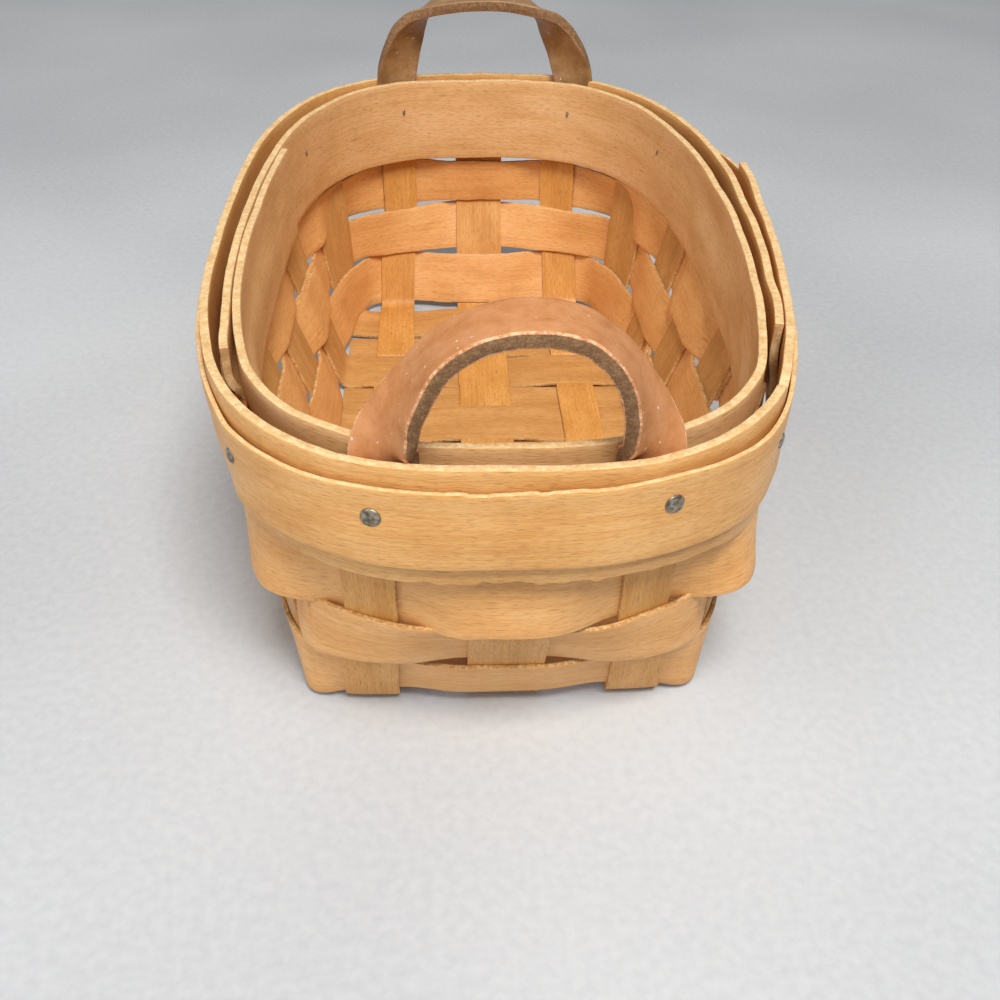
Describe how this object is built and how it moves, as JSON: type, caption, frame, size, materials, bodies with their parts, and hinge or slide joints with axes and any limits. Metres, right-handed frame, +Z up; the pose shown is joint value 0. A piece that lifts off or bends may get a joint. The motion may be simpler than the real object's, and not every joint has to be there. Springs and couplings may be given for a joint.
{
  "type": "oval splint basket",
  "caption": "Small oval basket woven from flat wood splints, open at the top, with banded rim and a leather ear at each end.",
  "frame": {"origin": "middle of the base, on the surface the basket stands on", "axes": "+Z up; Y along the basket's length, with the end shown nearest in the picture at -Y; X across it"},
  "size_m": [0.1249, 0.2036, 0.0946],
  "materials": {
    "upright_splint": "satin, lightly oiled maple splint",
    "base_filler": "satin, lightly oiled maple splint",
    "weaver": "satin, lightly oiled maple splint",
    "rim_band": "satin, lightly oiled maple band",
    "ear_leather": "smooth grain side, raw fuzzy edges and back",
    "tack_steel": "dull grey steel"
  },
  "bodies": {
    "root": {"left_lengthwise_splint": "upright_splint", "centre_lengthwise_splint": "upright_splint", "right_lengthwise_splint": "upright_splint", "cross_splint_1": "upright_splint", "cross_splint_2": "upright_splint", "cross_splint_3": "upright_splint", "cross_splint_4": "upright_splint", "cross_splint_5": "upright_splint", "cross_splint_6": "upright_splint", "base_filler_1": "base_filler", "base_filler_2": "base_filler", "base_filler_3": "base_filler", "base_filler_4": "base_filler", "base_filler_5": "base_filler", "bottom_weaver": "weaver", "lower_middle_weaver": "weaver", "upper_middle_weaver": "weaver", "top_weaver": "weaver", "inner_band": "rim_band", "outer_band": "rim_band", "trim_band": "rim_band", "front_ear": "ear_leather", "back_ear": "ear_leather", "front_left_ear_tack": "tack_steel", "front_right_ear_tack": "tack_steel", "back_right_ear_tack": "tack_steel", "back_left_ear_tack": "tack_steel", "front_right_corner_tack": "tack_steel", "back_right_corner_tack": "tack_steel", "back_left_corner_tack": "tack_steel", "front_left_corner_tack": "tack_steel"}
  },
  "joints": []
}
